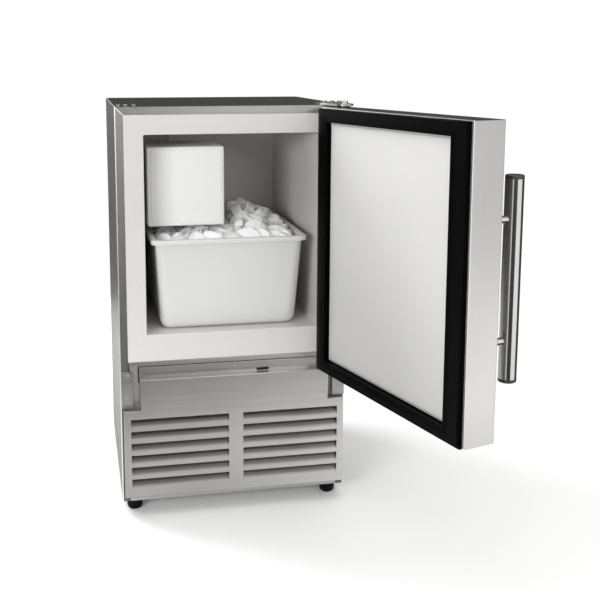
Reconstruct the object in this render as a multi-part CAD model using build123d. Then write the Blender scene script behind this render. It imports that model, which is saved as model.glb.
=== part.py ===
"""Compact under-counter crescent ice maker, 14 inch class, with its door standing open.

Millimetres. Origin on the floor under the middle of the cabinet, +X to the right when facing
the door, +Y to the back, +Z up. One STEP file per piece is written to parts/.
"""

import os
from math import acos, cos, pi, radians, sin, tan

from build123d import *

# ---------------------------------------------------------------- driving dimensions
WIDTH = 356.0
DEPTH = 346.0
TOP = 638.0
FOOT_HEIGHT = 22.0
SHEET = 1.0
FLANGE = 12.2
SEAM = 0.3
FIT = 0.1

HALF_W = WIDTH / 2
FRONT = -DEPTH / 2
BACK = DEPTH / 2
BASE = FOOT_HEIGHT
IN_X = HALF_W - SHEET
IN_BACK = BACK - SHEET

# insulated box
DECK_TOP = 246.0
DECK_SHEET = 1.4
REAR_SHEET = 0.9
LINER_WALL = 2.5
LINER_FLANGE_X = HALF_W - FLANGE - 0.4
LINER_FLANGE_TOP = TOP - FLANGE - 0.4
OPENING_X = 135.9
OPENING_LOW = 288.6
OPENING_HIGH = 595.6
LINER_DEPTH = 320.0
LINER_BACK_X = 127.7
LINER_BACK_HIGH = 592.0
OPENING_CORNER = 2.0
MOUTH_FILLET = 1.2
BACK_CORNER = 24.0
LINER_BACK = FRONT + LINER_DEPTH

# front below the door
TRIM_LOW = 239.4
TRIM_X = 164.0
RAIL_LOW = 213.0
RAIL_HIGH = 238.3
RAIL_X = 149.0
RAIL_DEPTH = 12.0
GROMMET_Z = 224.5
GRILLE_PROUD = 13.0
GRILLE_X = 174.4
GRILLE_LOW = 32.3
SHOULDER = 172.5
GRILLE_TOP = 221.6
GRILLE_UPPER_X = 148.2
SLOT_ROWS = 6
SLOT_PITCH = 19.3
SLOT_HEIGHT = 13.3
SLOT_FIRST_LOW = 49.2
SLOT_INNER_X = 11.4
SLOT_OUTER_X = 163.5
LOUVRE_DEPTH = 9.5

# door, drawn closed and then swung open about the hinge axis
DOOR_LOW = 228.0
DOOR_HIGH = 635.4
DOOR_OUT = FRONT - 59.4
DOOR_IN = FRONT - 11.0
DOOR_OPEN = 105.3
HINGE_X = 160.8
HINGE_Y = FRONT - 37.8
DOOR_RETURN = 14.0
PANEL_X = 144.4
PANEL_LOW = 254.5
PANEL_HIGH = 611.2
PANEL_RISE = 3.0
LINER_PLATE = 1.5
GASKET_LIFT = 4.0
GASKET_GROOVES = (6.5, 9.0, 11.5)
HANDLE_X = -150.0
HANDLE_OFFSET = 41.2
HANDLE_R = 12.0
HANDLE_LOW = 295.0
HANDLE_HIGH = 564.0
POST_HEIGHTS = (350.0, 508.0)
POST_R = 4.8

# hinges
HINGE_PLATE = 3.0
SHELF_LOW = 222.0
SHELF = 4.0
PIN_R = 4.0
BUSH_R = 8.0

# ice bin
BIN_LEFT = -126.0
BIN_RIGHT = 118.5
BIN_FRONT = -168.0
BIN_REAR = 135.0
BIN_LOW = OPENING_LOW + 0.3
RIM_TOP = 433.5
RIM_HEIGHT = 7.0
RIM_LIP = 6.0
BIN_WALL = 2.5
BIN_DRAFT = 9.0
BIN_CORNER_TOP = 12.0
BIN_CORNER_LOW = 18.0
BIN_FLOOR_R = 14.0

# ice making module
COVER_LEFT = -127.5
COVER_RIGHT = -6.5
COVER_FRONT = -123.0
COVER_BACK = -22.0
COVER_LOW = 448.0
COVER_HIGH = 572.7
COVER_WALL = 2.0
MOLD_X = -70.0
MOLD_Z = 505.0
MOLD_FRONT = -19.0
CAVITIES = 6
CAVITY_PITCH = 20.0
CAVITY = 17.5
CAVITY_R = 22.0
END_WALL = 3.0
MOLD_BACK = MOLD_FRONT + 2 * END_WALL + CAVITIES * CAVITY_PITCH - (CAVITY_PITCH - CAVITY)
SHAFT_R = 3.0
SHAFT_FIT = 0.05
FINGER = 20.0
FINGER_WIDTH = 6.0
GEAR_MODULE = 1.0
GEAR_TEETH = 48
PINION_TEETH = 12
GEAR_Y = -62.0
GEAR_WIDTH = 6.0
ARM_X = -40.0
ARM_Z = 474.0
ARM_REACH = 45.0
ARM_R = 1.5

# machine compartment
CONDENSER = (-158.0, -12.0, -150.0, -112.0, 62.0, 202.0)
FIN_PITCH = 5.0
FIN = 0.4
TUBE_R = 4.0
TUBE_ROWS = 6
TUBE_TURN = 13.0
FAN_X = -86.0
FAN_Z = 132.0
FAN_R = 58.0
SHROUD_Y = -104.0
FAN_Y = -96.0
MOTOR_Y = -76.0
COMP_X = 84.0
COMP_Y = 50.0
COMP_R = 62.0
COMP_LOW = 40.0
COMP_HIGH = 192.0
COIL_Y = LINER_BACK + LINER_WALL + 5.0
COIL_LEFT = -40.0
COIL_RIGHT = 84.0
COIL_TOP = 540.0
COIL_PITCH = 40.0
COIL_END = 205.0
WATER_X = -70.0
WATER_Z = 575.0
VALVE_X = -88.0
VALVE_Z = 84.0
INLET_R = 5.55
GLAND_X = -125.0
GLAND_Z = 70.0
FOOT_X = 158.0
FOOT_Y = 148.0
FOOT_R = 12.5
STUD_R = 4.0
STUD_TOP = 58.0


# ---------------------------------------------------------------- helpers
def block(x0, x1, y0, y1, z0, z1):
    """Box between two corners."""
    return Pos((x0 + x1) / 2, (y0 + y1) / 2, (z0 + z1) / 2) * Box(x1 - x0, y1 - y0, z1 - z0)


def rod_x(y, z, r, x0, x1):
    return Pos((x0 + x1) / 2, y, z) * Rot(0, 90, 0) * Cylinder(r, x1 - x0)


def rod_y(x, z, r, y0, y1):
    return Pos(x, (y0 + y1) / 2, z) * Rot(90, 0, 0) * Cylinder(r, y1 - y0)


def rod_z(x, y, r, z0, z1):
    return Pos(x, y, (z0 + z1) / 2) * Cylinder(r, z1 - z0)


def plate_xz(points, y0, y1):
    """Flat plate with an outline in X and Z, between two Y planes."""
    face = make_face(Polyline(*[(x, y0, z) for x, z in points], close=True))
    return extrude(face, amount=y1 - y0, dir=(0, 1, 0))


def plate_xy(points, z0, z1):
    """Flat plate with an outline in X and Y, between two Z planes."""
    face = make_face(Polyline(*[(x, y, z0) for x, y in points], close=True))
    return extrude(face, amount=z1 - z0, dir=(0, 0, 1))


def plate_yz(points, x0, x1):
    """Bar with a section in Y and Z, between two X planes."""
    face = make_face(Polyline(*[(x0, y, z) for y, z in points], close=True))
    return extrude(face, amount=x1 - x0, dir=(1, 0, 0))


def tube(points, radius, bend):
    """Round bar along straight runs joined by arcs."""
    path = FilletPolyline(*points, radius=bend)
    section = Plane(origin=path @ 0, z_dir=path % 0) * Circle(radius)
    return sweep(section, path=path)


def rounded_xz(x0, x1, z0, z1, r, y):
    """Rounded rectangle standing in the XZ plane at one Y."""
    plane = Plane(origin=((x0 + x1) / 2, y, (z0 + z1) / 2), x_dir=(1, 0, 0), z_dir=(0, -1, 0))
    return plane * RectangleRounded(x1 - x0, z1 - z0, r)


def rounded_xy(x0, x1, y0, y1, r, z):
    plane = Plane.XY.offset(z)
    return plane * Pos((x0 + x1) / 2, (y0 + y1) / 2) * RectangleRounded(x1 - x0, y1 - y0, r)


def edges_at(part, axis, x=None, y=None, z=None, tol=0.05):
    """Straight edges along an axis whose middle has the given coordinates."""
    found = part.edges().filter_by(axis)
    for want, pick in ((x, "X"), (y, "Y"), (z, "Z")):
        if want is not None:
            found = found.filter_by(lambda e: abs(getattr(e.center(), pick) - want) < tol)
    return found


def swung(part):
    """Door piece turned from closed to the open rest position."""
    axis = Axis((HINGE_X, HINGE_Y, 0), (0, 0, 1))
    return part.rotate(axis, DOOR_OPEN)


def pan_screw(x, y, z, direction, head_r=4.2, head=2.4, shank_r=2.0, shank=7.0):
    """Pan head screw whose head stands on the point and faces the direction."""
    head_part = Cylinder(head_r, head, align=(Align.CENTER, Align.CENTER, Align.MIN))
    head_part = fillet(head_part.edges().filter_by(GeomType.CIRCLE).sort_by(Axis.Z)[-1], 1.2)
    slot = Pos(0, 0, head) * Box(1.0, 4.4, 1.6)
    cross = Pos(0, 0, head) * Box(4.4, 1.0, 1.6)
    low = Pos(0, 0, -shank) * Cylinder(
        shank_r, shank, align=(Align.CENTER, Align.CENTER, Align.MIN)
    )
    plane = Plane(origin=(x, y, z), z_dir=direction)
    return plane * (head_part + low - slot - cross)


def joined(parts):
    """Separate solids kept together in one node."""
    solids = []
    for part in parts:
        solids += part.solids()
    return Compound(children=solids)


# ---------------------------------------------------------------- cabinet shell
def side_panel(side):
    """Folded side sheet with a front flange mitred at the top, and a rear flange."""
    low = BASE
    high = TOP - SHEET - FIT
    web = block(-HALF_W, -IN_X, FRONT, BACK, low, high)
    inner = -HALF_W + FLANGE
    mitre = TOP - FLANGE - SEAM
    outline = [(-HALF_W, low), (inner, low), (inner, mitre)]
    outline += [(-HALF_W + SHEET - SEAM + FIT, high), (-HALF_W, high)]
    front = plate_xz(outline, FRONT, FRONT + SHEET)
    rear = block(-HALF_W, inner, IN_BACK, BACK, low, high - FLANGE - 1)
    part = web + front + rear
    corner = edges_at(part, Axis.Z, x=-HALF_W, y=FRONT) + edges_at(part, Axis.Z, x=-HALF_W, y=BACK)
    part = fillet(corner, 0.9)
    if side > 0:
        part = mirror(part, about=Plane.YZ)
    return part


def top_panel():
    """Flat top with a mitred front flange and a rear flange."""
    plate = block(-HALF_W, HALF_W, FRONT, BACK, TOP - SHEET, TOP)
    low = TOP - FLANGE
    reach = HALF_W - FLANGE - SEAM
    edge = HALF_W - SHEET - SEAM
    outline = [(-reach, low), (reach, low), (edge, TOP - SHEET), (-edge, TOP - SHEET)]
    front = plate_xz(outline, FRONT, FRONT + SHEET)
    rear = block(-HALF_W + FLANGE + 1, HALF_W - FLANGE - 1, IN_BACK, BACK, low, TOP - SHEET)
    part = plate + front + rear
    part = fillet(edges_at(part, Axis.X, y=FRONT, z=TOP), 0.9)
    return part - top_screws()


def rear_panel():
    """Flat sheet behind the foam."""
    return block(
        -IN_X + FIT, IN_X - FIT, IN_BACK - FIT - REAR_SHEET, IN_BACK - FIT,
        DECK_TOP + FIT, TOP - SHEET - FIT,
    )


def rear_service_cover():
    """Removable lower back cover with air slots, valve hole and cord hole."""
    low, high = BASE + 2.0, DECK_TOP - 1.0
    part = block(-HALF_W + FLANGE + 1, HALF_W - FLANGE - 1, IN_BACK, BACK, low, high)
    for row in range(7):
        for column in (0, 1):
            x = 20.0 + 68.0 * column
            z = 80.0 + 20.0 * row
            part -= block(x, x + 56.0, IN_BACK - 1, BACK + 1, z, z + 7.0)
    part -= rod_y(VALVE_X, VALVE_Z, INLET_R + 1.4, IN_BACK - 1, BACK + 1)
    part -= rod_y(GLAND_X, GLAND_Z, 6.5, IN_BACK - 1, BACK + 1)
    return part - rear_screws()


def rear_screws():
    spots = [(x, z) for x in (-155.0, 0.0, 155.0) for z in (34.0, 236.0)]
    return joined([pan_screw(x, BACK, z, (0, 1, 0), shank=0.9) for x, z in spots])


def base_pan():
    """Tray under the machinery, with a visible front edge and holes for the feet."""
    edge = IN_X - FIT
    floor = block(-edge, edge, FRONT + SHEET + FIT, IN_BACK - FIT, BASE, BASE + 1.5)
    inner = HALF_W - FLANGE - SEAM
    front = block(-inner, inner, FRONT, FRONT + 1.5, BASE, BASE + 14.0)
    rear = block(-edge, edge, IN_BACK - FIT - 1.5, IN_BACK - FIT, BASE, BASE + 18.0)
    part = floor + front + rear
    for side in (-1, 1):
        x0, x1 = sorted((side * edge, side * (edge - 1.5)))
        part += block(x0, x1, FRONT + SHEET + FIT, IN_BACK - FIT, BASE, BASE + 18.0)
    for x in (-FOOT_X, FOOT_X):
        for y in (-FOOT_Y, FOOT_Y):
            part += rod_z(x, y, 9.0, BASE, BASE + 10.0)
            part -= rod_z(x, y, STUD_R + 0.08, BASE - 1, BASE + 11.0)
    return part


def foot(x, y):
    """Levelling foot with its threaded stud drawn as a plain rod."""
    profile = Polyline(
        (0, 0), (FOOT_R - 4.0, 0), (FOOT_R - 1.2, 2.6), (FOOT_R, 7.0), (FOOT_R, 16.0),
        (FOOT_R - 0.8, BASE - 0.5), (STUD_R, BASE - 0.5), (STUD_R, STUD_TOP - 1.0),
        (STUD_R - 1.0, STUD_TOP), (0, STUD_TOP), close=True,
    )
    face = make_face(Plane.XZ * profile)
    part = revolve(face, axis=Axis.Z)
    return Pos(x, y, 0) * part


def compartment_deck():
    """Sheet floor of the insulated box, over the machinery."""
    edge = IN_X - FIT
    part = block(
        -edge, edge, FRONT + SHEET + FIT + 1.0, IN_BACK - FIT - REAR_SHEET - FIT,
        DECK_TOP - DECK_SHEET, DECK_TOP,
    )
    for x, y in ((COIL_RIGHT + 20.0, COIL_Y), (COIL_LEFT, COIL_Y), (WATER_X, water_y())):
        part -= rod_z(x, y, TUBE_R + 1.5, DECK_TOP - 5, DECK_TOP + 5)
    return part


# ---------------------------------------------------------------- insulated box
def liner_void(grow, deeper):
    """Space inside the liner, or its outside when grown by the wall."""
    front = rounded_xz(
        -OPENING_X - grow, OPENING_X + grow, OPENING_LOW - grow, OPENING_HIGH + grow,
        OPENING_CORNER + grow, FRONT,
    )
    back = rounded_xz(
        -LINER_BACK_X - grow, LINER_BACK_X + grow, OPENING_LOW - grow, LINER_BACK_HIGH + grow,
        BACK_CORNER + grow, LINER_BACK + deeper,
    )
    return loft([front, back], ruled=True)


def inner_liner():
    """White formed liner: wide front flange and a tapered tub with a rounded mouth."""
    flange = block(
        -LINER_FLANGE_X, LINER_FLANGE_X, FRONT, FRONT + LINER_WALL,
        DECK_TOP + 0.9, LINER_FLANGE_TOP,
    )
    part = flange + liner_void(LINER_WALL, LINER_WALL) - liner_void(0, 0)
    mouth = part.edges().filter_by(
        lambda e: abs(e.bounding_box().max.Y - FRONT) < 0.01
        and abs(e.bounding_box().min.Y - FRONT) < 0.01
        and abs(e.center().X) < OPENING_X + 1
        and OPENING_LOW - 1 < e.center().Z < OPENING_HIGH + 1
    )
    part = fillet(mouth, MOUTH_FILLET)
    return part - rod_y(WATER_X, WATER_Z, TUBE_R + 0.1, LINER_BACK - 5, LINER_BACK + 8)


def foam_insulation():
    """Foamed block between the sheets and the liner."""
    edge = IN_X - 0.3
    part = block(
        -edge, edge, FRONT + LINER_WALL + 0.2, IN_BACK - FIT - REAR_SHEET - FIT,
        DECK_TOP + 0.2, TOP - SHEET - 0.3,
    )
    part -= liner_void(LINER_WALL + 0.1, LINER_WALL + 0.1)
    part -= evaporator_coil()
    part -= water_tube()
    return part - top_screws()


def trim_strip():
    """Stainless strip under the liner's flange."""
    part = block(-TRIM_X, TRIM_X, FRONT, FRONT + 1.6, TRIM_LOW, DECK_TOP + 0.6)
    return fillet(edges_at(part, Axis.X, y=FRONT), 0.5)


def front_rail():
    """Channel across the front, open to the back, with a rolled lower edge."""
    y1 = FRONT + RAIL_DEPTH
    outer = block(-RAIL_X, RAIL_X, FRONT, y1, RAIL_LOW, RAIL_HIGH)
    outer = fillet(edges_at(outer, Axis.X, y=FRONT, z=RAIL_LOW), 5.0)
    inner = block(-RAIL_X, RAIL_X, FRONT + 1.2, y1, RAIL_LOW + 1.2, RAIL_HIGH - 1.2)
    inner = fillet(edges_at(inner, Axis.X, y=FRONT + 1.2, z=RAIL_LOW + 1.2), 3.8)
    return outer - inner - front_screws() - rail_grommet()


def rail_grommet():
    """Half round rubber grommet set into the face of the rail."""
    ring = rod_x(FRONT + 5.0, GROMMET_Z, 5.5, 34.0, 56.0)
    ring = fillet(ring.edges().filter_by(GeomType.CIRCLE), 2.5)
    return ring & block(30.0, 60.0, FRONT - 2.0, FRONT + 11.0, GROMMET_Z - 8.0, GROMMET_Z + 2.5)


def front_posts():
    """Two angle posts that stand behind the grille and carry the rail."""
    low, high = BASE + 16.0, DECK_TOP - DECK_SHEET - 0.2
    face = block(-164.5, -150.5, FRONT + 5.0, FRONT + 6.2, low, high)
    web = block(-151.7, -150.5, FRONT + 5.0, FRONT + 22.0, low, high)
    wing = block(-151.0, -145.0, FRONT + 5.0, FRONT + 6.2, low, RAIL_LOW - 1.0)
    left = face + web + wing
    return joined([left, mirror(left, about=Plane.YZ)])


# ---------------------------------------------------------------- front grille
def grille_outline(inset):
    x, ux = GRILLE_X - inset, GRILLE_UPPER_X - inset
    low, mid, high = GRILLE_LOW + inset, SHOULDER - inset, GRILLE_TOP - inset
    return [(-x, low), (x, low), (x, mid), (ux, mid), (ux, high), (-ux, high), (-ux, mid), (-x, mid)]


def grille_panel():
    """Tray shaped panel with louvres bent in from the lower edge of every slot."""
    face_y = FRONT - GRILLE_PROUD
    back_y = FRONT - FIT
    outer = plate_xz(grille_outline(0), face_y, back_y)
    rim = outer.edges().filter_by(lambda e: abs(e.bounding_box().max.Y - face_y) < 0.01)
    outer = fillet(rim, 1.4)
    part = outer - plate_xz(grille_outline(SHEET), face_y + SHEET, back_y + 1)
    for row in range(SLOT_ROWS):
        low = SLOT_FIRST_LOW + row * SLOT_PITCH
        high = low + SLOT_HEIGHT
        for side in (-1, 1):
            x0, x1 = sorted((side * SLOT_INNER_X, side * SLOT_OUTER_X))
            part -= block(x0, x1, face_y - 1, face_y + SHEET + 1, low, high)
            blade = [
                (face_y, low), (face_y + 1.3, low), (face_y + LOUVRE_DEPTH + 1.1, high - 1.6),
                (face_y + LOUVRE_DEPTH, high - 1.0),
            ]
            part += plate_yz(blade, x0 + 0.2, x1 - 0.2)
            part += block(x0 + 0.2, x1 - 0.2, face_y, face_y + 1.3, low - 0.5, low + 0.2)
    return part


def grille_clips():
    """Four spring clips between the grille and the posts."""
    clips = []
    for x in (-157.5, 157.5):
        for z in (41.0, 166.2):
            body = block(x - 5, x + 5, FRONT - 11.9, FRONT + 4.9, z - 5, z + 5)
            body -= block(x - 3.6, x + 3.6, FRONT - 10.4, FRONT + 6, z - 6, z + 6)
            clips.append(body)
    return joined(clips)


def hinge_blank_plate():
    """Plate with spare hinge holes on the left, closed by two screws."""
    x0, x1 = -HALF_W + 1.5, -159.5
    z0, z1 = 174.0, 232.8
    cut = 6.6
    part = plate_xz([(x0, z0), (x1, z0), (x1, z1 - cut), (x1 - cut, z1), (x0, z1)], FRONT - 1.2, FRONT)
    return part - front_screws()


def front_screws():
    """Pan head screws of the rail, the spare hinge plate and the lower hinge."""
    spots = [(1.6, 230.0, 0.0), (-166.7, 226.2, 1.2), (-166.9, 191.8, 1.2)]
    spots += [(168.0, 191.8, HINGE_PLATE), (168.0, 210.0, HINGE_PLATE)]
    return joined([
        pan_screw(x, FRONT - lift, z, (0, -1, 0), head_r=2.9, head=1.6, shank_r=1.6, shank=1.0)
        for x, z, lift in spots
    ])


# ---------------------------------------------------------------- hinges
def top_hinge_plate():
    """Arm on the cabinet top that reaches out over the door's corner."""
    outline = [
        (136.0, FRONT + 36.0), (176.0, FRONT + 36.0), (176.0, HINGE_Y - 2.0),
        (170.0, HINGE_Y - 11.0), (155.0, HINGE_Y - 12.0), (149.5, HINGE_Y - 4.0), (136.0, FRONT + 6.0),
    ]
    part = plate_xy(outline, TOP, TOP + HINGE_PLATE)
    part = fillet(part.edges().filter_by(Axis.Z), 3.0)
    part -= rod_z(HINGE_X, HINGE_Y, PIN_R, TOP - 1, TOP + 5)
    return part - top_screws()


def top_screws():
    """Three hinge screws on the right and the three plug screws of the spare holes."""
    right = [(147.0, FRONT + 20.0), (159.0, FRONT + 22.0), (170.0, FRONT + 16.0)]
    screws = [pan_screw(x, y, TOP + HINGE_PLATE, (0, 0, 1), shank=9.0) for x, y in right]
    screws += [pan_screw(-x, y, TOP, (0, 0, 1), shank=6.0) for x, y in right]
    return joined(screws)


def lower_hinge_bracket():
    """Upright plate on the right flange with a shelf that carries the door."""
    wall = block(158.0, HALF_W - 0.5, FRONT - HINGE_PLATE, FRONT, 174.0, SHELF_LOW + SHELF)
    shelf_outline = [
        (149.2, FRONT), (HALF_W - 0.5, FRONT), (HALF_W - 0.5, HINGE_Y - 3.0),
        (169.0, HINGE_Y - 12.0), (155.0, HINGE_Y - 12.0), (149.2, HINGE_Y - 5.0),
    ]
    shelf = plate_xy(shelf_outline, SHELF_LOW, SHELF_LOW + SHELF)
    shelf = fillet(shelf.edges().filter_by(Axis.Z).filter_by(lambda e: e.center().Y < HINGE_Y), 3.0)
    part = wall + shelf
    part = fillet(edges_at(part, Axis.X, y=FRONT - HINGE_PLATE, z=SHELF_LOW), 2.0)
    part -= rod_z(HINGE_X, HINGE_Y, PIN_R, SHELF_LOW - 1, SHELF_LOW + SHELF + 1)
    return part - front_screws()


def hinge_pins():
    """Headed upper pin and plain lower pin."""
    upper = rod_z(HINGE_X, HINGE_Y, PIN_R, DOOR_HIGH - 18.0, TOP + HINGE_PLATE)
    head = Pos(HINGE_X, HINGE_Y, TOP + HINGE_PLATE) * extrude(RegularPolygon(7.0, 6), 4.5)
    head = chamfer(head.faces().sort_by(Axis.Z)[-1].edges(), 0.7)
    lower = rod_z(HINGE_X, HINGE_Y, PIN_R, SHELF_LOW, DOOR_LOW + 18.0)
    return joined([upper + head, lower])


# ---------------------------------------------------------------- door
def bushing(z0, z1, flange_z0, flange_z1):
    part = rod_z(HINGE_X, HINGE_Y, BUSH_R, z0, z1)
    if flange_z1 > flange_z0:
        part += rod_z(HINGE_X, HINGE_Y, BUSH_R + 3.0, flange_z0, flange_z1)
    return part


def closed_bushings():
    upper = bushing(DOOR_HIGH - 22.0, DOOR_HIGH + 1.8, DOOR_HIGH, DOOR_HIGH + 1.8)
    upper -= rod_z(HINGE_X, HINGE_Y, PIN_R + SHAFT_FIT, DOOR_HIGH - 18.5, DOOR_HIGH + 3)
    lower = bushing(DOOR_LOW - 1.8, DOOR_LOW + 22.0, DOOR_LOW - 1.8, DOOR_LOW)
    lower -= rod_z(HINGE_X, HINGE_Y, PIN_R + SHAFT_FIT, DOOR_LOW - 3, DOOR_LOW + 18.5)
    return joined([upper, lower])


def hinge_bushings():
    return swung(closed_bushings())


def bush_cores():
    """Solid room for the bushings in the pieces around them."""
    upper = rod_z(HINGE_X, HINGE_Y, BUSH_R, DOOR_HIGH - 22.0, DOOR_HIGH + 1)
    lower = rod_z(HINGE_X, HINGE_Y, BUSH_R, DOOR_LOW - 1, DOOR_LOW + 22.0)
    return upper + lower


def door_skin():
    """Folded stainless door with side walls and narrow returns behind."""
    part = block(-HALF_W, HALF_W, DOOR_OUT, DOOR_IN, DOOR_LOW, DOOR_HIGH)
    rim = part.edges().filter_by(lambda e: abs(e.bounding_box().max.Y - DOOR_OUT) < 0.01)
    part = fillet(rim, 1.6)
    part -= block(
        -IN_X, IN_X, DOOR_OUT + SHEET, DOOR_IN - SHEET, DOOR_LOW + SHEET, DOOR_HIGH - SHEET
    )
    hole_x = HALF_W - DOOR_RETURN
    part -= block(
        -hole_x, hole_x, DOOR_IN - 5, DOOR_IN + 1, DOOR_LOW + DOOR_RETURN, DOOR_HIGH - DOOR_RETURN
    )
    return swung(part - bush_cores())


def door_foam():
    edge = IN_X - FIT
    part = block(
        -edge, edge, DOOR_OUT + SHEET + 1.0, DOOR_IN - SHEET - FIT,
        DOOR_LOW + SHEET + FIT, DOOR_HIGH - SHEET - FIT,
    )
    return swung(part - bush_cores())


def door_liner():
    """White inner panel with a raised middle; the gasket sits on its border."""
    plate = block(
        -HALF_W + 2.5, HALF_W - 2.5, DOOR_IN + 0.1, DOOR_IN + LINER_PLATE,
        DOOR_LOW + 2.5, DOOR_HIGH - 2.5,
    )
    back = rounded_xz(
        -PANEL_X - 2, PANEL_X + 2, PANEL_LOW - 2, PANEL_HIGH + 2, 6.0, DOOR_IN + LINER_PLATE
    )
    face = rounded_xz(-PANEL_X, PANEL_X, PANEL_LOW, PANEL_HIGH, 5.0, DOOR_IN + PANEL_RISE)
    return swung(plate + loft([back, face], ruled=True))


def gasket_ring(edge, inner, y0, y1, lift=0.0):
    """Rectangular frame: how far its outside is from the door edge and its inside from the panel."""
    low = DOOR_LOW + edge + lift
    outer_part = block(-HALF_W + edge, HALF_W - edge, y0, y1, low, DOOR_HIGH - edge)
    return outer_part - panel_block(inner, y0 - 1, y1 + 1)


def panel_block(grow, y0, y1):
    """Block over the raised middle of the door liner, larger by grow."""
    return block(-PANEL_X - grow, PANEL_X + grow, y0, y1, PANEL_LOW - grow, PANEL_HIGH + grow)


def door_gasket():
    """Bellows gasket: wide foot, narrow neck, ridge, neck and a soft sealing bulb."""
    foot_y = DOOR_IN + LINER_PLATE
    seal_y = FRONT - 0.3
    layers = [
        (1.0, 3.0, foot_y, foot_y + 2.0),
        (4.5, 7.0, foot_y + 2.0, foot_y + 3.2),
        (1.5, 4.0, foot_y + 3.2, foot_y + 4.6),
        (4.5, 7.0, foot_y + 4.6, foot_y + 5.6),
        (1.5, 4.0, foot_y + 5.6, seal_y, GASKET_LIFT),
    ]
    part = gasket_ring(*layers[0])
    for layer in layers[1:]:
        part += gasket_ring(*layer)
    for inner in GASKET_GROOVES:
        low, high = seal_y - 0.7, seal_y + 1.0
        part -= panel_block(inner + 0.8, low, high) - panel_block(inner, low - 1, high + 1)
    reach = FRONT - HINGE_Y - 0.4
    beyond = block(HINGE_X, HALF_W + 5, HINGE_Y, FRONT + 5, DOOR_LOW - 5, DOOR_HIGH + 5)
    beyond -= rod_z(HINGE_X, HINGE_Y, reach, DOOR_LOW - 10, DOOR_HIGH + 10)
    return swung(part - beyond)


def handle_y():
    return DOOR_OUT - HANDLE_OFFSET


def handle_bar():
    """Tubular pull, closed by its two end caps."""
    part = rod_z(HANDLE_X, handle_y(), HANDLE_R, HANDLE_LOW + 5.0, HANDLE_HIGH - 5.0)
    part -= rod_z(HANDLE_X, handle_y(), HANDLE_R - 1.5, HANDLE_LOW, HANDLE_HIGH)
    return swung(part)


def handle_end_caps():
    """Slightly domed plugs in the ends of the pull."""
    lower = rod_z(HANDLE_X, handle_y(), HANDLE_R, HANDLE_LOW, HANDLE_LOW + 5.0)
    lower = fillet(lower.edges().filter_by(GeomType.CIRCLE).sort_by(Axis.Z)[0], 1.6)
    lower += rod_z(HANDLE_X, handle_y(), HANDLE_R - 1.5, HANDLE_LOW + 5.0, HANDLE_LOW + 14.0)
    middle = (HANDLE_LOW + HANDLE_HIGH) / 2
    upper = mirror(lower, about=Plane.XY.offset(middle))
    return swung(joined([lower, upper]))


def handle_standoffs():
    """Two posts between the door face and the pull."""
    posts = []
    for z in POST_HEIGHTS:
        post = rod_y(HANDLE_X, z, POST_R, handle_y() + HANDLE_R - 4, DOOR_OUT)
        post += rod_y(HANDLE_X, z, POST_R + 2.0, DOOR_OUT - 2.0, DOOR_OUT)
        post -= rod_z(HANDLE_X, handle_y(), HANDLE_R, z - 20, z + 20)
        posts.append(post)
    return swung(joined(posts))


# ---------------------------------------------------------------- ice bin
def bin_shape(grow, low, high):
    """Tapered tub between two heights, drawn larger or smaller by grow."""
    inset = RIM_LIP - grow
    top = rounded_xy(
        BIN_LEFT + inset, BIN_RIGHT - inset, BIN_FRONT + inset, BIN_REAR - inset,
        BIN_CORNER_TOP + grow, high,
    )
    inset += BIN_DRAFT
    bottom = rounded_xy(
        BIN_LEFT + inset, BIN_RIGHT - inset, BIN_FRONT + inset + 4, BIN_REAR - inset - 4,
        BIN_CORNER_LOW + grow, low,
    )
    return loft([bottom, top], ruled=True)


def ice_bin():
    """White tub with a rounded floor and a turned down rim."""
    outer = bin_shape(0, BIN_LOW, RIM_TOP)
    outer = fillet(outer.faces().sort_by(Axis.Z)[0].edges(), BIN_FLOOR_R)
    inner = bin_shape(-BIN_WALL, BIN_LOW + BIN_WALL, RIM_TOP)
    inner = fillet(inner.faces().sort_by(Axis.Z)[0].edges(), BIN_FLOOR_R - BIN_WALL)
    rim = extrude(
        rounded_xy(
            BIN_LEFT, BIN_RIGHT, BIN_FRONT, BIN_REAR, BIN_CORNER_TOP + 2.0, RIM_TOP - RIM_HEIGHT
        ),
        RIM_HEIGHT,
    )
    rim = fillet(rim.faces().sort_by(Axis.Z)[-1].edges(), 2.0)
    rim -= extrude(
        rounded_xy(
            BIN_LEFT + BIN_WALL, BIN_RIGHT - BIN_WALL, BIN_FRONT + BIN_WALL, BIN_REAR - BIN_WALL,
            BIN_CORNER_TOP - 0.5, RIM_TOP - RIM_HEIGHT - 1,
        ),
        RIM_HEIGHT + 1 - BIN_WALL,
    )
    return outer + rim - inner


# ---------------------------------------------------------------- ice making module
def icemaker_cover():
    """White box over the drive, open at the back, with a raised front pad."""
    part = block(COVER_LEFT, COVER_RIGHT, COVER_FRONT, COVER_BACK, COVER_LOW, COVER_HIGH)
    front = part.edges().filter_by(lambda e: abs(e.bounding_box().max.Y - COVER_FRONT) < 0.01)
    part = fillet(front + part.edges().filter_by(Axis.Y), 3.5)
    pad = rounded_xz(
        COVER_LEFT + 5.5, COVER_RIGHT - 4.5, COVER_LOW + 5.5, COVER_HIGH - 4.5, 3.5, COVER_FRONT
    )
    pad = extrude(pad, amount=1.1, dir=(0, -1, 0))
    pad = fillet(pad.faces().sort_by(Axis.Y)[0].edges(), 0.9)
    hollow = block(
        COVER_LEFT + COVER_WALL, COVER_RIGHT - COVER_WALL, COVER_FRONT + COVER_WALL, COVER_BACK + 1,
        COVER_LOW + COVER_WALL, COVER_HIGH - COVER_WALL,
    )
    return part + pad - hollow


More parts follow.
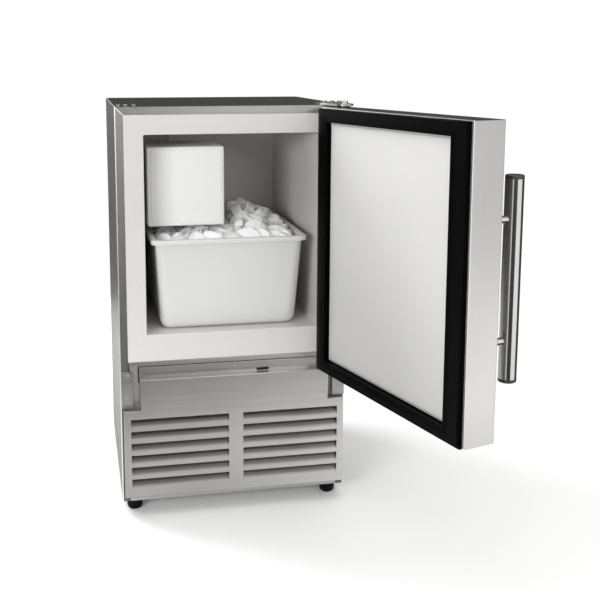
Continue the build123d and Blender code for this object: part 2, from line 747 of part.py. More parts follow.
def icemaker_bracket():
    """Metal plate that closes the cover's back and an arm along the liner wall."""
    y0 = COVER_BACK + 0.2
    plate = block(COVER_LEFT + 1, COVER_RIGHT - 1, y0, y0 + 2.0, COVER_LOW + 2, COVER_HIGH - 2)
    arm = block(COVER_LEFT + 1, COVER_LEFT + 3, y0, MOLD_BACK, MOLD_Z - 4, COVER_HIGH - 14)
    tie = block(COVER_LEFT + 3, MOLD_X - 27.5, 60.0, 62.0, MOLD_Z - 4, MOLD_Z + 8)
    part = plate + arm + tie
    for y in (2.0, 80.0):
        boss = block(-OPENING_X, COVER_LEFT + 1, y, y + 10.0, COVER_HIGH - 34, COVER_HIGH - 24)
        part += boss & liner_void(-FIT, 0)
    part -= rod_y(MOLD_X, MOLD_Z, SHAFT_R + SHAFT_FIT, y0 - 1, y0 + 3)
    return part - rod_y(ARM_X, ARM_Z, ARM_R + SHAFT_FIT, y0 - 1, y0 + 3)


def cavity_centres():
    first = MOLD_FRONT + END_WALL + CAVITY / 2
    return [first + CAVITY_PITCH * i for i in range(CAVITIES)]


def ice_mold():
    """Cast trough with half round cavities, and bearings at its rear end."""
    part = block(MOLD_X - 27, MOLD_X + 27, MOLD_FRONT, MOLD_BACK, MOLD_Z - 26, MOLD_Z)
    part = fillet(edges_at(part, Axis.Y, z=MOLD_Z - 26), 12.0)
    for y in cavity_centres():
        part -= rod_y(MOLD_X, MOLD_Z, CAVITY_R, y - CAVITY / 2, y + CAVITY / 2)
    part += block(MOLD_X - 9, MOLD_X + 9, MOLD_BACK - END_WALL, MOLD_BACK, MOLD_Z - 12, MOLD_Z + 8)
    part += plate_xz(
        [(ARM_X - 14, MOLD_Z - 14), (ARM_X + 4, ARM_Z + 6), (ARM_X + 4, ARM_Z - 4),
         (ARM_X - 4, ARM_Z - 4), (ARM_X - 14, ARM_Z + 6)],
        MOLD_BACK - END_WALL, MOLD_BACK,
    )
    part -= rod_y(MOLD_X, MOLD_Z, SHAFT_R + 0.6, MOLD_FRONT - 1, MOLD_BACK - END_WALL)
    part -= rod_y(MOLD_X, MOLD_Z, SHAFT_R + SHAFT_FIT, MOLD_BACK - END_WALL - 1, MOLD_BACK + 1)
    return part - rod_y(ARM_X, ARM_Z, ARM_R + SHAFT_FIT, MOLD_BACK - END_WALL - 1, MOLD_BACK + 1)


def ice_stripper():
    """Comb beside the mold whose teeth lie between the ejector fingers."""
    x0, x1 = MOLD_X + 5.0, MOLD_X + 29.4
    z = MOLD_Z + 1.8
    part = block(x1 - 2.0, x1, MOLD_FRONT + 2, MOLD_BACK - 4, MOLD_Z - 22, z + 2)
    part += block(x1 - 5.0, x1, MOLD_FRONT + 2, MOLD_BACK - 4, z, z + 2)
    centres = cavity_centres()
    for first, second in zip(centres, centres[1:]):
        middle = (first + second) / 2
        part += block(x0, x1 - 1, middle - 5.5, middle + 5.5, z, z + 2)
    return part


def ejector_rotor():
    """Shaft with one tapered finger over each cavity."""
    part = rod_y(MOLD_X, MOLD_Z, SHAFT_R, GEAR_Y - 4.0, MOLD_BACK - 0.5)
    for y in cavity_centres():
        y0, y1 = y - FINGER_WIDTH / 2, y + FINGER_WIDTH / 2
        finger = plate_xz(
            [(MOLD_X - 2.6, MOLD_Z), (MOLD_X + 2.6, MOLD_Z), (MOLD_X + 1.3, MOLD_Z + FINGER),
             (MOLD_X - 1.3, MOLD_Z + FINGER)],
            y0, y1,
        )
        part += finger
    return part


def involute_gear(teeth, width, bore, phase):
    """Spur gear in the XZ plane about the origin, with thinned involute teeth."""
    pitch = GEAR_MODULE * teeth / 2
    base = pitch * cos(radians(20))
    outer = pitch + GEAR_MODULE * 0.95
    root = pitch - GEAR_MODULE * 1.2
    half = pi / (2 * teeth) - 0.06 / pitch
    involute = tan(radians(20)) - radians(20)

    def flank(r):
        if r <= base:
            return half + involute
        pressure = acos(base / r)
        return half + involute - (tan(pressure) - pressure)

    start = max(base, root + 0.15)
    radii = [start + (outer - start) * i / 4 for i in range(5)]
    points = []
    for tooth in range(teeth):
        middle = 2 * pi * tooth / teeth + phase
        for r in radii:
            points.append((r, middle - flank(r)))
        for r in reversed(radii):
            points.append((r, middle + flank(r)))
        gap = middle + pi / teeth
        points.append((root, gap - pi / teeth * 0.35))
        points.append((root, gap + pi / teeth * 0.35))
    outline = [(r * cos(a), r * sin(a)) for r, a in points]
    return plate_xz(outline, 0, width) - rod_y(0, 0, bore, -1, width + 1)


def gear_distance():
    return GEAR_MODULE * (GEAR_TEETH + PINION_TEETH) / 2


def drive_gear():
    """Large gear pressed on the front of the ejector shaft."""
    gear = involute_gear(GEAR_TEETH, GEAR_WIDTH, SHAFT_R, 0.0)
    return Pos(MOLD_X, GEAR_Y, MOLD_Z) * gear


def motor_pinion():
    """Small gear with its shaft, to the left of the large gear."""
    gear = involute_gear(PINION_TEETH, GEAR_WIDTH, 1.0, pi / PINION_TEETH)
    gear += rod_y(0, 0, 2.0, -12.0, GEAR_WIDTH)
    return Pos(MOLD_X - gear_distance(), GEAR_Y, MOLD_Z) * gear


def gearmotor():
    """Synchronous motor on the pinion's axis, with a mounting ear."""
    x = MOLD_X - gear_distance()
    part = rod_y(x, MOLD_Z, 21.0, GEAR_Y - 48.0, GEAR_Y - 4.0)
    part = fillet(part.edges().filter_by(GeomType.CIRCLE), 2.0)
    part += block(x - 8, x + 60, GEAR_Y - 12.0, GEAR_Y - 10.0, MOLD_Z - 34, MOLD_Z - 15)
    part += block(x + 56, x + 58, GEAR_Y - 12.0, COVER_BACK, MOLD_Z - 34, MOLD_Z - 26)
    return part - rod_y(x, MOLD_Z, 2.0 + SHAFT_FIT, GEAR_Y - 12.5, GEAR_Y - 3)


def mold_heater():
    """U shaped heater rod under the mold."""
    z = MOLD_Z - 26 - 3.3
    y0, y1 = MOLD_FRONT + 4, MOLD_BACK - 10
    left, right = MOLD_X - 10, MOLD_X + 10
    return tube([(left, y0, z), (left, y1, z), (right, y1, z), (right, y0, z)], 3.0, 8.0)


def fill_cup():
    """Small cup behind the mold that takes the water from the tube."""
    y0, y1 = MOLD_BACK + 0.3, MOLD_BACK + 21.0
    x0, x1 = MOLD_X - 15, MOLD_X + 15
    z0 = MOLD_Z + 9.0
    part = block(x0, x1, y0, y1, z0, z0 + 20.0)
    part -= block(x0 + 2, x1 - 2, y0 + 2, y1 - 2, z0 + 2, z0 + 21.0)
    spout = block(x0 + 8, x1 - 8, y0 - 8, y0 + 2, z0, z0 + 6.0)
    spout -= block(x0 + 10, x1 - 10, y0 - 9, y0 + 3, z0 + 2, z0 + 7.0)
    return part + spout - block(x0 + 10, x1 - 10, y0 - 1, y0 + 3, z0 + 2, z0 + 6.0)


def shutoff_arm():
    """Wire bail that feels the height of the ice, held up level."""
    y0, y1 = MOLD_FRONT + 3.0, MOLD_BACK - 8.0
    points = [
        (ARM_X, y0 - 22.0, ARM_Z), (ARM_X, y0, ARM_Z), (ARM_X + ARM_REACH, y0, ARM_Z),
        (ARM_X + ARM_REACH, y1, ARM_Z), (ARM_X, y1, ARM_Z), (ARM_X, MOLD_BACK + 1.5, ARM_Z),
    ]
    return tube(points, ARM_R, 4.0)


def water_y():
    return IN_BACK - FIT - REAR_SHEET - FIT - TUBE_R - 3.0


def water_tube():
    """Fill tube from the valve, up through the foam and in over the fill cup."""
    y = water_y()
    cup_y = MOLD_BACK + 10.5
    points = [
        (VALVE_X, y - 8.0, VALVE_Z + 26.2), (VALVE_X, y - 8.0, VALVE_Z + 60.0),
        (WATER_X, y, VALVE_Z + 100.0), (WATER_X, y, WATER_Z), (WATER_X, cup_y, WATER_Z),
        (WATER_X, cup_y, MOLD_Z + 26.0),
    ]
    return tube(points, TUBE_R, 12.0)


# ---------------------------------------------------------------- cooling system
def evaporator_coil():
    """Serpentine on the outside of the liner's back wall, with both ends led down."""
    riser = COIL_RIGHT + 20.0
    z = COIL_TOP
    points = [(riser, COIL_END), (riser, z), (COIL_LEFT, z)]
    for _ in range(2):
        points += [(COIL_LEFT, z - COIL_PITCH), (COIL_RIGHT, z - COIL_PITCH)]
        points += [(COIL_RIGHT, z - 2 * COIL_PITCH), (COIL_LEFT, z - 2 * COIL_PITCH)]
        z -= 2 * COIL_PITCH
    points.append((COIL_LEFT, COIL_END))
    return tube([(x, COIL_Y, z) for x, z in points], TUBE_R, 12.0)


def compressor():
    """Sealed can with a domed lid on a foot plate; the thick wall stands for the works inside."""
    r = COMP_R
    profile = Polyline(
        (0, COMP_LOW), (r - 14, COMP_LOW), (r, COMP_LOW + 16), (r, COMP_HIGH - 34),
        (r - 14, COMP_HIGH - 10), (r - 34, COMP_HIGH), (0, COMP_HIGH), close=True,
    )
    can = revolve(make_face(Plane.XZ * profile), axis=Axis.Z)
    wall = 11.0
    hollow = Pos(0, 0, (COMP_LOW + COMP_HIGH) / 2) * Cylinder(r - wall, COMP_HIGH - COMP_LOW - 50)
    seam = Pos(0, 0, 112.0) * Cylinder(r + 2.5, 4.0)
    part = Pos(COMP_X, COMP_Y, 0) * (can + seam - hollow)
    part += block(COMP_X - 78, COMP_X + 78, COMP_Y - 38, COMP_Y + 38, COMP_LOW - 3, COMP_LOW)
    part += rod_y(COMP_X - 30, 150.0, 4.0, COMP_Y - 78, COMP_Y - 40)
    part += rod_y(COMP_X + 20, 130.0, 4.0, COMP_Y + 40, COMP_Y + 76)
    for x, y in grommet_spots():
        part -= rod_z(x, y, 5.0, COMP_LOW - 4, COMP_LOW + 1)
    return part


def grommet_spots():
    return [(COMP_X + i * 68, COMP_Y + j * 30) for i in (-1, 1) for j in (-1, 1)]


def compressor_grommets():
    """Rubber mounts on which the foot plate stands."""
    low = BASE + 1.5
    grommets = []
    for x, y in grommet_spots():
        part = rod_z(x, y, 9.0, low, COMP_LOW - 3)
        part += rod_z(x, y, 5.0, COMP_LOW - 3, COMP_LOW)
        part += rod_z(x, y, 8.0, COMP_LOW, COMP_LOW + 4)
        grommets.append(part)
    return joined(grommets)


def tube_levels():
    low, high = CONDENSER[4] + 15, CONDENSER[5] - 15
    return [low + (high - low) * i / (TUBE_ROWS - 1) for i in range(TUBE_ROWS)]


def condenser_fins():
    """Stack of thin fins threaded on the condenser tube, with two thicker end plates."""
    x0, x1, y0, y1, z0, z1 = CONDENSER
    middle = (y0 + y1) / 2
    count = int((x1 - x0) / FIN_PITCH)
    holes = [rod_x(middle, z, TUBE_R + 0.1, x0 - 2, x1 + 2) for z in tube_levels()]
    fins = []
    for i in range(count + 1):
        x = x0 + FIN_PITCH * i
        thick = 1.2 if i in (0, count) else FIN
        fin = block(x, x + thick, y0, y1, z0, z1)
        for hole in holes:
            fin -= hole
        fins.append(fin)
    return joined(fins)


def condenser_tube():
    """Serpentine through the fins, with both ends on the right."""
    middle = (CONDENSER[2] + CONDENSER[3]) / 2
    left, right = CONDENSER[0] - TUBE_TURN, CONDENSER[1] + TUBE_TURN
    points = []
    for i, z in enumerate(reversed(tube_levels())):
        ends = (right, left) if i % 2 == 0 else (left, right)
        points += [(x, middle, z) for x in ends]
    return tube(points, TUBE_R, 12.0)


def fan_shroud():
    """Plate behind the condenser with a round throat for the fan."""
    x0, x1, z0, z1 = CONDENSER[0] - 2, CONDENSER[1] + 2, CONDENSER[4] - 2, CONDENSER[5] + 2
    part = block(x0, x1, SHROUD_Y, SHROUD_Y + 1.5, BASE + 1.5, z1)
    part += block(x0, x1, CONDENSER[2] + 8, SHROUD_Y, z0, z0 + 1.5)
    part += block(x0, x1, CONDENSER[2] + 8, SHROUD_Y, z1 - 1.5, z1)
    part += rod_y(FAN_X, FAN_Z, FAN_R + 4.0, SHROUD_Y, SHROUD_Y + 22.0)
    return part - rod_y(FAN_X, FAN_Z, FAN_R + 2.0, SHROUD_Y - 1, SHROUD_Y + 23.0)


def fan_motor():
    """Motor on three arms that reach the throat, with the shaft pointing forward."""
    part = rod_y(FAN_X, FAN_Z, 21.0, MOTOR_Y, MOTOR_Y + 34.0)
    part = fillet(part.edges().filter_by(GeomType.CIRCLE), 3.0)
    part += rod_y(FAN_X, FAN_Z, 2.5, FAN_Y - 3.0, MOTOR_Y + 1.0)
    arm = block(0, FAN_R + 8.0, MOTOR_Y + 6.0, MOTOR_Y + 9.0, -5.0, 5.0)
    arm += block(FAN_R + 5.0, FAN_R + 8.0, SHROUD_Y + 1.5, MOTOR_Y + 9.0, -5.0, 5.0)
    arm -= rod_y(0, 0, 15.0, MOTOR_Y, MOTOR_Y + 20.0)
    for turn in (90, 210, 330):
        part += Pos(FAN_X, 0, FAN_Z) * Rot(0, turn, 0) * arm
    return part


def fan_blade():
    """Five blade axial fan with a free bore for the motor shaft."""
    hub_y0, hub_y1 = FAN_Y - 2.0, FAN_Y + 14.0
    part = rod_y(0, 0, 13.0, hub_y0, hub_y1)
    blade = Pos(34.0, (hub_y0 + hub_y1) / 2, 0) * Rot(32, 0, 0) * Box(52.0, 1.8, 26.0)
    limit = rod_y(0, 0, FAN_R, hub_y0 - 4, hub_y1 + 4)
    blade = blade & limit
    for i in range(5):
        part += Rot(0, 72.0 * i, 0) * blade
    part -= rod_y(0, 0, 2.5 + SHAFT_FIT, hub_y0 - 6, hub_y1 + 6)
    return Pos(FAN_X, 0, FAN_Z) * part


def filter_drier():
    """Copper drier lying along the left of the compressor."""
    part = rod_y(-20.0, 60.0, 11.0, -30.0, 60.0)
    part = fillet(part.edges().filter_by(GeomType.CIRCLE), 6.0)
    part += rod_y(-20.0, 60.0, 4.0, -45.0, -29.0)
    return part + rod_y(-20.0, 60.0, 2.0, 59.0, 70.0)


def refrigerant_lines():
    """Discharge, liquid, capillary and suction lines."""
    middle = (CONDENSER[2] + CONDENSER[3]) / 2
    levels = tube_levels()
    right = CONDENSER[1] + TUBE_TURN + 0.2
    discharge = tube(
        [(COMP_X - 30, COMP_Y - 78.2, 150.0), (COMP_X - 30, middle, 150.0),
         (COMP_X - 30, middle, levels[-1]), (right, middle, levels[-1])],
        TUBE_R, 10.0,
    )
    capillary = tube(
        [(-20.0, 70.2, 60.0), (-20.0, COIL_Y, 60.0), (COIL_LEFT, COIL_Y, 110.0),
         (COIL_LEFT, COIL_Y, COIL_END - 0.2)],
        2.0, 8.0,
    )
    riser = COIL_RIGHT + 20.0
    suction = tube(
        [(riser, COIL_Y, COIL_END - 0.2), (riser, COIL_Y, 130.0), (riser, COMP_Y + 76.2, 130.0)],
        TUBE_R, 10.0,
    )
    liquid = tube(
        [(right, middle, levels[0]), (right + 20, middle, levels[0]), (right + 20, -70.0, 60.0),
         (-20.0, -70.0, 60.0), (-20.0, -45.2, 60.0)],
        2.5, 8.0,
    )
    return joined([discharge, liquid, capillary, suction])


def water_valve():
    """Inlet valve with solenoid; its threaded inlet stands out behind, drawn plain."""
    part = block(VALVE_X - 14, VALVE_X + 14, 128.0, 168.0, VALVE_Z - 14, VALVE_Z + 14)
    part = fillet(part.edges().filter_by(Axis.Y), 3.0)
    part += rod_y(VALVE_X, VALVE_Z, INLET_R + 0.8, 167.0, BACK + 1.0)
    part += rod_y(VALVE_X, VALVE_Z, INLET_R, BACK + 1.0, BACK + 13.0)
    part += rod_z(VALVE_X, water_y() - 8.0, 6.0, VALVE_Z + 10, VALVE_Z + 26.0)
    part += rod_z(VALVE_X, 138.0, 10.0, VALVE_Z - 44.0, VALVE_Z - 10)
    return part - rod_y(VALVE_X, VALVE_Z, 2.5, 150.0, BACK + 14.0)


def power_gland():
    """Strain relief bush where the mains cord leaves the back."""
    part = rod_y(GLAND_X, GLAND_Z, 6.5, IN_BACK - 8.0, BACK + 0.1)
    part += rod_y(GLAND_X, GLAND_Z, 9.0, BACK, BACK + 4.0)
    part += rod_y(GLAND_X, GLAND_Z, 9.0, IN_BACK - 8.0, IN_BACK - 0.1)
    part = fillet(part.edges().filter_by(GeomType.CIRCLE).sort_by(Axis.Y)[-1], 1.5)
    return part - rod_y(GLAND_X, GLAND_Z, 4.0, IN_BACK - 9.0, BACK + 5.0)


def control_box():
    """Sheet box with the thermostat and terminals, closed by a lid."""
    x0, x1, y0, y1, z0, z1 = -165.0, -95.0, 36.0, 124.0, BASE + 1.5, 120.0
    part = block(x0, x1, y0, y1, z0, z1)
    part = fillet(part.edges().filter_by(Axis.Z), 4.0)
    return part - block(x0 + 2, x1 - 2, y0 + 2, y1 - 2, z0 + 2, z1 - 2)


NODES = {
    "left_side_panel": lambda: side_panel(-1),
    "right_side_panel": lambda: side_panel(1),
    "top_panel": top_panel,
    "rear_panel": rear_panel,
    "rear_service_cover": rear_service_cover,
    "rear_screws": rear_screws,
    "base_pan": base_pan,
    "compartment_deck": compartment_deck,
    "foam_insulation": foam_insulation,
    "inner_liner": inner_liner,
    "trim_strip": trim_strip,
    "front_rail": front_rail,
    "rail_grommet": rail_grommet,
    "front_posts": front_posts,
    "grille_panel": grille_panel,
    "grille_clips": grille_clips,
    "hinge_blank_plate": hinge_blank_plate,
    "front_screws": front_screws,
    "top_screws": top_screws,
    "top_hinge_plate": top_hinge_plate,
    "lower_hinge_bracket": lower_hinge_bracket,
    "hinge_pins": hinge_pins,
    "hinge_bushings": hinge_bushings,
    "door_skin": door_skin,
    "door_foam": door_foam,
    "door_liner": door_liner,
    "door_gasket": door_gasket,
    "handle_bar": handle_bar,
    "handle_end_caps": handle_end_caps,
    "handle_standoffs": handle_standoffs,
    "ice_bin": ice_bin,
    "icemaker_cover": icemaker_cover,
    "icemaker_bracket": icemaker_bracket,
    "ice_mold": ice_mold,
    "ice_stripper": ice_stripper,
    "ejector_rotor": ejector_rotor,
    "drive_gear": drive_gear,
    "motor_pinion": motor_pinion,
    "gearmotor": gearmotor,
    "mold_heater": mold_heater,
    "fill_cup": fill_cup,
    "shutoff_arm": shutoff_arm,
    "water_tube": water_tube,
    "water_valve": water_valve,
    "evaporator_coil": evaporator_coil,
    "compressor": compressor,
    "compressor_grommets": compressor_grommets,
    "condenser_fins": condenser_fins,
    "condenser_tube": condenser_tube,
    "fan_shroud": fan_shroud,
    "fan_motor": fan_motor,
    "fan_blade": fan_blade,
    "filter_drier": filter_drier,
    "refrigerant_lines": refrigerant_lines,
    "control_box": control_box,
    "power_gland": power_gland,
}
for end, sign_y in (("front", -1), ("rear", 1)):
    for side, sign_x in (("left", -1), ("right", 1)):
        NODES[f"{end}_{side}_foot"] = lambda x=sign_x, y=sign_y: foot(x * FOOT_X, y * FOOT_Y)

os.makedirs("parts", exist_ok=True)
for node, make in NODES.items():
    export_step(make(), f"parts/{node}.step")
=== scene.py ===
"""Looks for the compact built-in ice maker: materials, the heap of ice, floor, light and camera."""

import math
import random

import bmesh
import bpy
from mathutils import Matrix, Vector, noise


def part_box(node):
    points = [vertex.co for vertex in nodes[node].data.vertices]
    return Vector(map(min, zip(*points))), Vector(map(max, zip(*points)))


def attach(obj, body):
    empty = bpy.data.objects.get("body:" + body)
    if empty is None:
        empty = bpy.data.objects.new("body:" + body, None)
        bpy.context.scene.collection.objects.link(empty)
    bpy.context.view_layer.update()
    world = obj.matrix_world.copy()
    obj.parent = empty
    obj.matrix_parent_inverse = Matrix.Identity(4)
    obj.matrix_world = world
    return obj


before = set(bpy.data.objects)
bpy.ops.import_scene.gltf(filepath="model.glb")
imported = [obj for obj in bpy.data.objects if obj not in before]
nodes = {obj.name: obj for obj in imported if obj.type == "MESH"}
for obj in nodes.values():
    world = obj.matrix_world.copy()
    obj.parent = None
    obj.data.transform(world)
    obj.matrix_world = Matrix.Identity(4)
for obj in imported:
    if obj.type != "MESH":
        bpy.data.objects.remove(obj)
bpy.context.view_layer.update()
MM = 0.001

HALF_WIDTH = 178.0 * MM
FRONT_FACE = -173.0 * MM
TOP_FACE = 638.0 * MM
DOOR_TOP = 635.4 * MM
DOOR_INNER = -184.0 * MM
DOOR_OUTER = -232.4 * MM


# ---------------------------------------------------------------- node tree helpers
class Tree:
    """Short names for building one material's node tree."""

    def __init__(self, name):
        self.material = bpy.data.materials.new(name)
        self.material.use_nodes = True
        self.nodes = self.material.node_tree.nodes
        self.links = self.material.node_tree.links
        self.shader = self.nodes["Principled BSDF"]
        self.point = self.nodes.new("ShaderNodeTexCoord").outputs["Object"]

    def link(self, out, socket):
        self.links.new(out, socket)

    def set(self, socket, value):
        """Socket by value or by link."""
        if hasattr(value, "is_linked"):
            self.link(value, socket)
        else:
            socket.default_value = value

    def math(self, operation, a, b=0.0, clamp=False):
        node = self.nodes.new("ShaderNodeMath")
        node.operation = operation
        node.use_clamp = clamp
        self.set(node.inputs[0], a)
        self.set(node.inputs[1], b)
        return node.outputs[0]

    def axis(self, name):
        """One coordinate of the surface point, in metres in the row frame."""
        node = self.nodes.new("ShaderNodeSeparateXYZ")
        self.link(self.point, node.inputs[0])
        return node.outputs[name]

    def along(self, direction, offset=0.0):
        """Distance of the surface point along a direction, from an offset in metres."""
        node = self.nodes.new("ShaderNodeVectorMath")
        node.operation = "DOT_PRODUCT"
        self.link(self.point, node.inputs[0])
        node.inputs[1].default_value = direction
        return self.math("SUBTRACT", node.outputs["Value"], offset)

    def stretched(self, scale):
        """The surface point scaled by a vector, for grain and streaks."""
        node = self.nodes.new("ShaderNodeMapping")
        node.inputs["Scale"].default_value = scale
        self.link(self.point, node.inputs["Vector"])
        return node.outputs["Vector"]

    def noise(self, scale, detail=3.0, rough=0.55, stretch=(1, 1, 1)):
        node = self.nodes.new("ShaderNodeTexNoise")
        node.inputs["Scale"].default_value = scale
        node.inputs["Detail"].default_value = detail
        node.inputs["Roughness"].default_value = rough
        self.link(self.stretched(stretch), node.inputs["Vector"])
        return node.outputs["Fac"]

    def range(self, value, low, high, to_low, to_high, smooth=False):
        node = self.nodes.new("ShaderNodeMapRange")
        node.clamp = True
        if smooth:
            node.interpolation_type = "SMOOTHSTEP"
        self.set(node.inputs["Value"], value)
        node.inputs["From Min"].default_value = low
        node.inputs["From Max"].default_value = high
        self.set(node.inputs["To Min"], to_low)
        self.set(node.inputs["To Max"], to_high)
        return node.outputs["Result"]

    def mix(self, factor, a, b):
        node = self.nodes.new("ShaderNodeMix")
        node.data_type = "RGBA"
        self.set(node.inputs["Factor"], factor)
        self.set(node.inputs["A"], a if hasattr(a, "is_linked") else (*a, 1.0))
        self.set(node.inputs["B"], b if hasattr(b, "is_linked") else (*b, 1.0))
        return node.outputs["Result"]

    def bump(self, height, strength, distance):
        node = self.nodes.new("ShaderNodeBump")
        node.inputs["Strength"].default_value = strength
        node.inputs["Distance"].default_value = distance
        self.link(height, node.inputs["Height"])
        self.link(node.outputs["Normal"], self.shader.inputs["Normal"])


def scaled(color, factor):
    return tuple(c * factor for c in color)


# ---------------------------------------------------------------- materials
GRAIN = {"x": (3, 900, 900), "z": (900, 900, 3), "y": (900, 3, 900)}


def brushed(name, color, rough, grain, contrast=0.1, edge_highlight=None, painted_light=None):
    """Brushed stainless steel: fine streaks in colour, gloss and height, and soft large stains, with
    painted light and shade and painted edge highlights where given.
    """
    t = Tree(name)
    fine = t.noise(1.0, 4.0, 0.7, GRAIN[grain])
    broad = t.noise(1.0, 3.0, 0.5, [s * 0.12 for s in GRAIN[grain]])
    cloud = t.noise(6.0, 3.0, 0.5)
    streak = t.math("ADD", t.math("MULTIPLY", fine, 0.6), t.math("MULTIPLY", broad, 0.4))
    dark, light = scaled(color, 1 - contrast), scaled(color, 1 + contrast)
    tone = t.mix(t.range(streak, 0.35, 0.65, 0.0, 1.0), dark, light)
    stain = t.range(cloud, 0.3, 0.7, 0.95, 1.04)
    # Painted light and shade for the sheet's place in the studio, multiplied into the stained tone.
    shade = painted_light(t) if painted_light else 1.0
    factor = t.math("MULTIPLY", stain, shade)
    scale = t.nodes.new("ShaderNodeVectorMath")
    scale.operation = "SCALE"
    t.link(tone, scale.inputs[0])
    t.link(factor, scale.inputs["Scale"])
    base = scale.outputs[0]
    # Painted highlights along the rounded edges, in a pale steel colour.
    if edge_highlight:
        base = t.mix(edge_highlight(t), base, scaled((1, 1, 0.98), 0.9))
    t.link(base, t.shader.inputs["Base Color"])
    t.shader.inputs["Metallic"].default_value = 1.0
    t.link(t.range(streak, 0.3, 0.7, rough - 0.05, rough + 0.06), t.shader.inputs["Roughness"])
    t.bump(fine, 0.12, 0.02 * MM)
    return t.material


def moulded(name, color, rough=0.35, grain=2600.0, depth=0.02, painted_shade=None, coat=0.0, metallic=0.0,
            shine=0.5):
    """Moulded plastic, rubber or enamel with a fine skin, faint mottling and rubbed spots."""
    t = Tree(name)
    skin = t.noise(grain, 2.0, 0.6)
    mottle = t.noise(9.0, 3.0, 0.5)
    rub = t.noise(30.0, 4.0, 0.6)
    tone = t.mix(t.range(mottle, 0.1, 0.9, 0.0, 1.0), scaled(color, 0.98), scaled(color, 1.02))
    # Painted shade, where one is given, laid over the tone.
    if painted_shade:
        tone = painted_shade(t, tone)
    t.link(tone, t.shader.inputs["Base Color"])
    t.link(t.range(rub, 0.1, 0.9, rough - 0.03, rough + 0.03), t.shader.inputs["Roughness"])
    t.shader.inputs["Metallic"].default_value = metallic
    t.shader.inputs["Coat Weight"].default_value = coat
    t.shader.inputs["Specular IOR Level"].default_value = shine
    t.bump(skin, 0.15, depth * MM)
    return t.material


def painted_depth_shade(color_dark, low, high, power=1.0):
    """Painted shade that goes over to a darker colour from front to back, for the shade deep in a
    recess.
    """
    def painted_shade(t, tone):
        depth = t.math("POWER", t.range(t.axis("Y"), low, high, 0.0, 1.0, smooth=True), power)
        return t.mix(depth, tone, color_dark)
    return painted_shade


def line_mask(t, distance, half_width):
    """1 on a line, fading to 0 at half_width from it; distance is signed, in metres."""
    return t.range(t.math("ABSOLUTE", distance), half_width * 0.5, half_width, 1.0, 0.0)


def cabinet_edge_highlights(t):
    """Painted highlights on the front corner, the top corner and the mitre of the cabinet, where
    their rounded edges would catch the light.
    """
    side = t.math("SUBTRACT", t.math("ABSOLUTE", t.axis("X")), HALF_WIDTH)
    front = t.math("SUBTRACT", t.axis("Y"), FRONT_FACE)
    high = t.math("SUBTRACT", t.axis("Z"), TOP_FACE)
    upright = t.math("MULTIPLY", line_mask(t, side, 1.9 * MM), line_mask(t, front, 1.9 * MM))
    lengthwise = t.math("MULTIPLY", line_mask(t, side, 2.2 * MM), line_mask(t, high, 1.4 * MM))
    seam = t.math("MULTIPLY", line_mask(t, t.math("SUBTRACT", side, high), 1.6 * MM),
                  line_mask(t, front, 1.2 * MM))
    return t.math("MAXIMUM", t.math("MAXIMUM", upright, lengthwise), seam)


HINGE = Vector((160.8, -210.8, 0.0)) * MM
DOOR_TURN = math.radians(105.3)
DOOR_X = Vector((math.cos(DOOR_TURN), math.sin(DOOR_TURN), 0.0))
DOOR_Y = Vector((-math.sin(DOOR_TURN), math.cos(DOOR_TURN), 0.0))


def door_edge_highlights(t):
    """Painted highlights round the folded edges of the door, found in the door's own directions."""
    across = t.math("ABSOLUTE", t.math("ADD", t.along(DOOR_X, DOOR_X.dot(HINGE)), HINGE.x))
    side = t.math("SUBTRACT", across, HALF_WIDTH)
    depth = t.math("ADD", t.along(DOOR_Y, DOOR_Y.dot(HINGE)), HINGE.y)
    inner = t.math("SUBTRACT", depth, DOOR_INNER)
    outer = t.math("SUBTRACT", depth, DOOR_OUTER)
    high = t.math("SUBTRACT", t.axis("Z"), DOOR_TOP)
    rims = t.math("MAXIMUM", line_mask(t, inner, 1.6 * MM), line_mask(t, outer, 1.3 * MM))
    return t.math("MULTIPLY", rims, t.math("MAXIMUM", line_mask(t, side, 2.0 * MM),
                                           line_mask(t, high, 2.0 * MM)))


def assign(material, *names):
    for name in names:
        mesh = nodes[name].data
        mesh.materials.clear()
        mesh.materials.append(material)


WARM = (1.0, 0.99, 0.965)
SCREW = brushed("screw_steel", scaled(WARM, 0.5), 0.3, "z", 0.06)
ZINC = brushed("zinc_sheet", scaled(WARM, 0.42), 0.45, "x", 0.07)
COPPER = moulded("copper", (0.72, 0.40, 0.26), 0.3, 900.0, 0.01, metallic=1.0)
BLACK = moulded("black_plastic", (0.018, 0.018, 0.019), 0.5, 1800.0, 0.05)
RUBBER = moulded("black_rubber", (0.012, 0.012, 0.012), 0.6, 1500.0, 0.05, shine=0.2)


# Painted shades: tones that come from the studio's dark and bright sides, given to the materials.
SLOT_FACE = -185.6 * MM
SLOT_BACK = -183.0 * MM
SLOTS_END = 170.0 * MM


def dark_above(level, factor):
    """Shade that is darker on faces higher than a level."""
    return lambda t: t.range(t.axis("Z"), level - 1.0 * MM, level - 0.3 * MM, 1.0, factor)


def paler_right(t):
    """Shade of the front sheets, which goes from dull at their left end to bright at their right."""
    return t.range(t.axis("X"), -HALF_WIDTH, HALF_WIDTH, 0.74, 1.32)


def dark_slots(t):
    """Shade of the grille, whose louvres are much duller than its front face."""
    slots = t.range(t.axis("Y"), SLOT_FACE, SLOT_BACK, 1.0, 0.42)
    over = t.range(t.axis("Z"), SLOTS_END, SLOTS_END + 2.0 * MM, 0.0, 1.0)
    shade = t.math("MAXIMUM", slots, over)
    return t.math("MULTIPLY", paler_right(t), shade)


def low_side(t):
    """Shade of the side sheets, duller low down where they would mirror the floor."""
    return t.range(t.axis("Z"), 80.0 * MM, 400.0 * MM, 0.42, 1.0, smooth=True)


def top_shade(t):
    """Shade of the top sheet: duller on its upper face and towards the left of its front flange."""
    return t.math("MULTIPLY", paler_right(t), dark_above(TOP_FACE, 0.25)(t))


